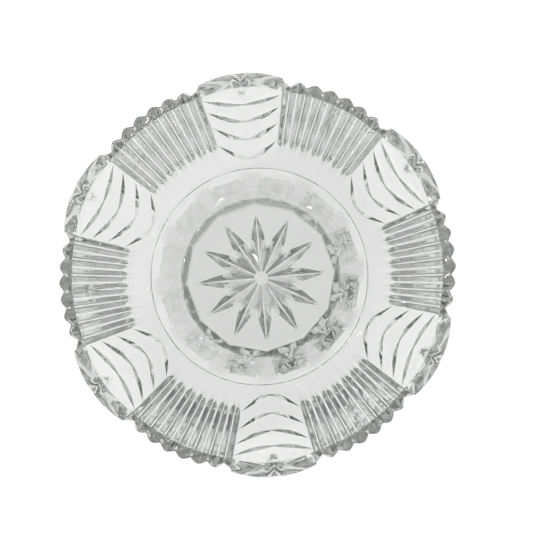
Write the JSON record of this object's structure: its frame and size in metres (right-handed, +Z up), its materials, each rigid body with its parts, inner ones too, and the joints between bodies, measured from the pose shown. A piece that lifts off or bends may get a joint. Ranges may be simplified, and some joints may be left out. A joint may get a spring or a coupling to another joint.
{
  "type": "dappen dish",
  "caption": "Small round pressed-glass dish with a flared, lobed and toothed rim, curved and fluted cuts outside, a flared foot with scooped panels and a star cut underneath.",
  "frame": {"origin": "on the dish's axis, in the plane that its base stands on", "axes": "+Z up along the dish's axis; +Y towards the middle of one smooth lobe of the rim; +X towards the middle of a toothed arc of the rim"},
  "size_m": [0.0684, 0.0696, 0.0244],
  "materials": {
    "clear_glass": "fire-polished clear glass"
  },
  "bodies": {
    "root": {"glass_dish": "clear_glass"}
  },
  "joints": []
}
